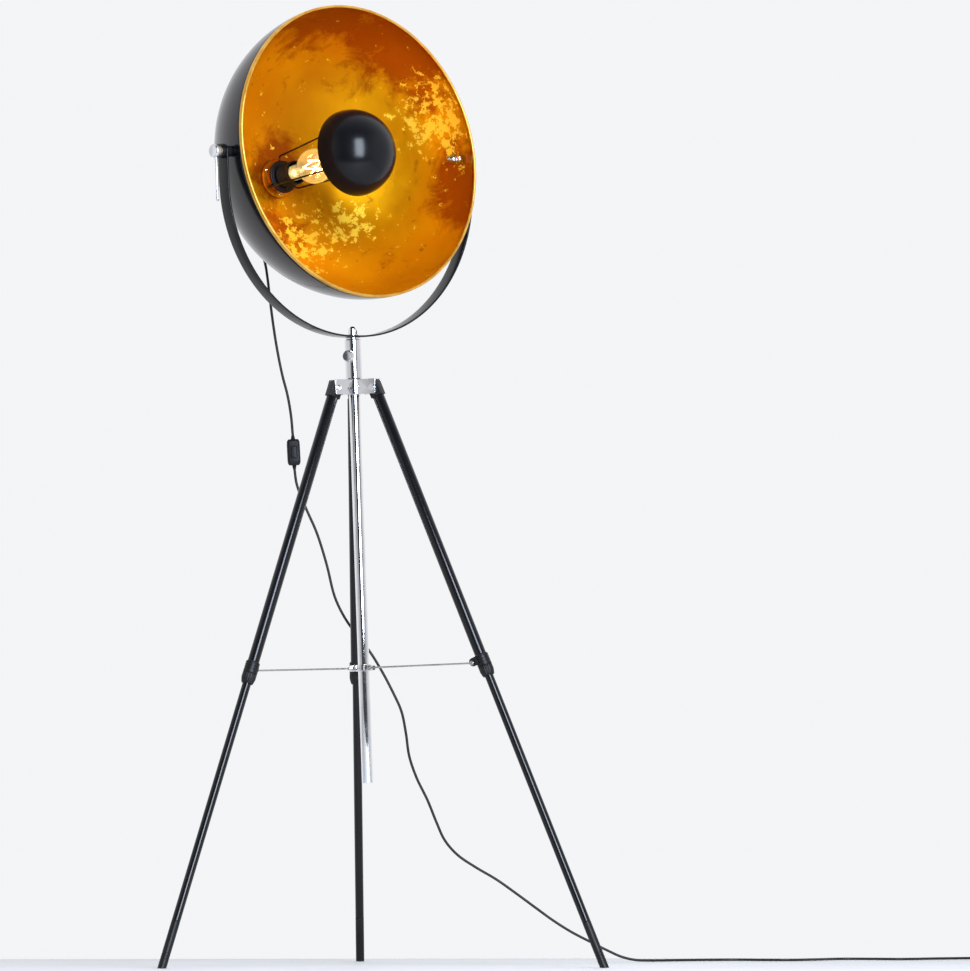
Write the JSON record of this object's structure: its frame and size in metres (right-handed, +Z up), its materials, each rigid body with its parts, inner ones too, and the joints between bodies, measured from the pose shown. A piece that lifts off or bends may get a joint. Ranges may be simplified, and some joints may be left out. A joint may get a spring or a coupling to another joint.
{
  "type": "tripod floor lamp",
  "caption": "Floor lamp with a hemispherical dish shade in a U-shaped yoke on a chrome column with folding telescopic tripod legs, spreader struts and an inline switch.",
  "frame": {"origin": "middle of the lamp's own box (without its cord), on the floor", "axes": "+Z up; +Y towards the back leg; the two other legs stand at front left and front right"},
  "size_m": [1.5303, 0.7455, 1.6099],
  "materials": {
    "black_paint": "satin",
    "shade_metal": "satin",
    "cap_metal": "satin",
    "chrome": "polished",
    "black_plastic": "satin",
    "bulb_glass": "gloss",
    "bulb_brass": "gloss",
    "cord": "matte"
  },
  "bodies": {
    "stand": {"hub": "chrome", "sleeve": "chrome", "column_tube": "chrome", "pivot_screw_left": "chrome", "pivot_screw_right": "chrome", "pivot_screw_back": "chrome", "cord_fall": "cord", "cord_coil": "cord", "plug": "black_plastic"},
    "leg_left": {"leg_cap_left": "black_plastic", "upper_leg_left": "black_paint", "leg_clamp_left": "black_plastic"},
    "leg_lock_left": {"leg_lock_left": "black_plastic"},
    "lower_left": {"lower_leg_left": "black_paint", "foot_left": "black_plastic"},
    "rod_left": {"spreader_rod_left": "chrome"},
    "leg_right": {"leg_cap_right": "black_plastic", "upper_leg_right": "black_paint", "leg_clamp_right": "black_plastic"},
    "leg_lock_right": {"leg_lock_right": "black_plastic"},
    "lower_right": {"lower_leg_right": "black_paint", "foot_right": "black_plastic"},
    "rod_right": {"spreader_rod_right": "chrome"},
    "leg_back": {"leg_cap_back": "black_plastic", "upper_leg_back": "black_paint", "leg_clamp_back": "black_plastic"},
    "leg_lock_back": {"leg_lock_back": "black_plastic"},
    "lower_back": {"lower_leg_back": "black_paint", "foot_back": "black_plastic"},
    "rod_back": {"spreader_rod_back": "chrome"},
    "collar": {"spreader_collar": "chrome"},
    "collar_screw": {"collar_screw": "black_plastic"},
    "height_knob": {"height_knob": "chrome"},
    "pole": {"pole": "chrome", "swivel_bolt": "chrome", "swivel_washer": "chrome", "acorn_nut": "chrome"},
    "yoke": {"yoke": "black_paint", "spacer_left": "black_plastic", "spacer_right": "black_plastic", "cord_drop": "cord", "switch_case": "black_plastic"},
    "tilt_knob_left": {"tilt_knob_left": "chrome"},
    "tilt_knob_right": {"tilt_knob_right": "chrome"},
    "head": {"dish": "shade_metal", "pivot_bolt_left": "chrome", "pivot_bolt_right": "chrome", "pivot_nut_left": "chrome", "pivot_nut_right": "chrome", "lampholder": "black_plastic", "holder_ring": "black_plastic", "bulb_base": "bulb_brass", "bulb_glass": "bulb_glass", "bulb_stem": "bulb_glass", "glare_cap": "cap_metal", "cap_rod_1": "cap_metal", "cap_rod_2": "cap_metal", "cap_rod_3": "cap_metal", "cord_gland": "black_plastic"},
    "rocker": {"switch_rocker": "black_plastic"}
  },
  "joints": [
    {"name": "fold_left", "type": "hinge", "parent": "stand", "child": "leg_left", "pos_m": [-0.07101, -0.12084, 0.96449], "axis": [0.4997, -0.866, 0.0192], "range_deg": [0, 18.5]},
    {"name": "fold_right", "type": "hinge", "parent": "stand", "child": "leg_right", "pos_m": [-0.00402, -0.12084, 0.96679], "axis": [0.4997, 0.866, 0.0151], "range_deg": [0, 18.5]},
    {"name": "fold_back", "type": "hinge", "parent": "stand", "child": "leg_back", "pos_m": [-0.03751, -0.06279, 0.9655], "axis": [-0.9994, 0, -0.0343], "range_deg": [0, 18.5]},
    {"name": "extend_left", "type": "slide", "parent": "leg_left", "child": "lower_left", "axis": [0.2862, 0.186, 0.94], "range_m": [-0.0268, 0.403]},
    {"name": "lock_left", "type": "hinge", "parent": "leg_left", "child": "leg_lock_left", "pos_m": [-0.07101, -0.12084, 0.96449], "axis": [0.2862, 0.186, 0.94], "range_deg": [0, 90]},
    {"name": "extend_right", "type": "slide", "parent": "leg_right", "child": "lower_right", "axis": [-0.3499, 0.186, 0.9181], "range_m": [0, 0.43]},
    {"name": "lock_right", "type": "hinge", "parent": "leg_right", "child": "leg_lock_right", "pos_m": [-0.00402, -0.12084, 0.96679], "axis": [-0.3499, 0.186, 0.9181], "range_deg": [0, 90]},
    {"name": "extend_back", "type": "slide", "parent": "leg_back", "child": "lower_back", "axis": [-0.0319, -0.3652, 0.9304], "range_m": [-0.0151, 0.415]},
    {"name": "lock_back", "type": "hinge", "parent": "leg_back", "child": "leg_lock_back", "pos_m": [-0.03751, -0.06279, 0.9655], "axis": [-0.0319, -0.3652, 0.9304], "range_deg": [0, 90]},
    {"name": "collar_slide", "type": "slide", "parent": "stand", "child": "collar", "axis": [-0.0343, 0.0024, 0.9994], "range_m": [0, 0.159]},
    {"name": "rod_left", "type": "hinge", "parent": "collar", "child": "rod_left", "pos_m": [-0.04365, -0.09813, 0.49633], "axis": [0.4997, -0.866, 0.0192], "range_deg": [0, 79.7]},
    {"name": "rod_right", "type": "hinge", "parent": "collar", "child": "rod_right", "pos_m": [-0.01422, -0.12411, 0.4974], "axis": [0.4997, 0.866, 0.0151], "range_deg": [0, 79.7]},
    {"name": "rod_back", "type": "hinge", "parent": "collar", "child": "rod_back", "pos_m": [-0.00645, -0.08561, 0.49758], "axis": [-0.9994, 0, -0.0343], "range_deg": [0, 79.7]},
    {"name": "collar_screw_turn", "type": "hinge", "parent": "collar", "child": "collar_screw", "pos_m": [-0.02144, -0.10262, 0.49711], "axis": [0.9897, -0.1391, 0.0343], "continuous": true},
    {"name": "height_knob_turn", "type": "hinge", "parent": "stand", "child": "height_knob", "pos_m": [-0.03933, -0.10136, 1.01856], "axis": [-0.3419, -0.9397, -0.0095], "continuous": true},
    {"name": "height_slide", "type": "slide", "parent": "stand", "child": "pole", "axis": [-0.0343, 0.0024, 0.9994], "range_m": [0, 0.43]},
    {"name": "yoke_swivel", "type": "hinge", "parent": "pole", "child": "yoke", "pos_m": [-0.05096, -0.10055, 1.35743], "axis": [-0.0343, 0.0024, 0.9994], "range_deg": [-90, 90]},
    {"name": "dish_tilt", "type": "hinge", "parent": "yoke", "child": "head", "pos_m": [-0.05096, -0.10055, 1.35743], "axis": [0.8121, 0.5829, 0.0265], "range_deg": [-45, 60]},
    {"name": "tilt_knob_left_turn", "type": "hinge", "parent": "yoke", "child": "tilt_knob_left", "pos_m": [-0.05096, -0.10055, 1.35743], "axis": [-0.8121, -0.5829, -0.0265], "range_deg": [-90, 90]},
    {"name": "tilt_knob_right_turn", "type": "hinge", "parent": "yoke", "child": "tilt_knob_right", "pos_m": [-0.05096, -0.10055, 1.35743], "axis": [0.8121, 0.5829, 0.0265], "continuous": true},
    {"name": "rocker_press", "type": "hinge", "parent": "yoke", "child": "rocker", "pos_m": [-0.1295, 0.1015, 0.868], "axis": [0.9987, 0, 0.0517], "range_deg": [0, 12]}
  ],
  "couplings": [
    {"joint": "fold_right", "follows": "fold_left", "ratio": 1},
    {"joint": "fold_back", "follows": "fold_left", "ratio": 1},
    {"joint": "collar_slide", "follows": "fold_left", "m_per_rad": 0.49243},
    {"joint": "rod_left", "follows": "fold_left", "ratio": 4.3077},
    {"joint": "rod_right", "follows": "fold_left", "ratio": 4.3077},
    {"joint": "rod_back", "follows": "fold_left", "ratio": 4.3077}
  ]
}
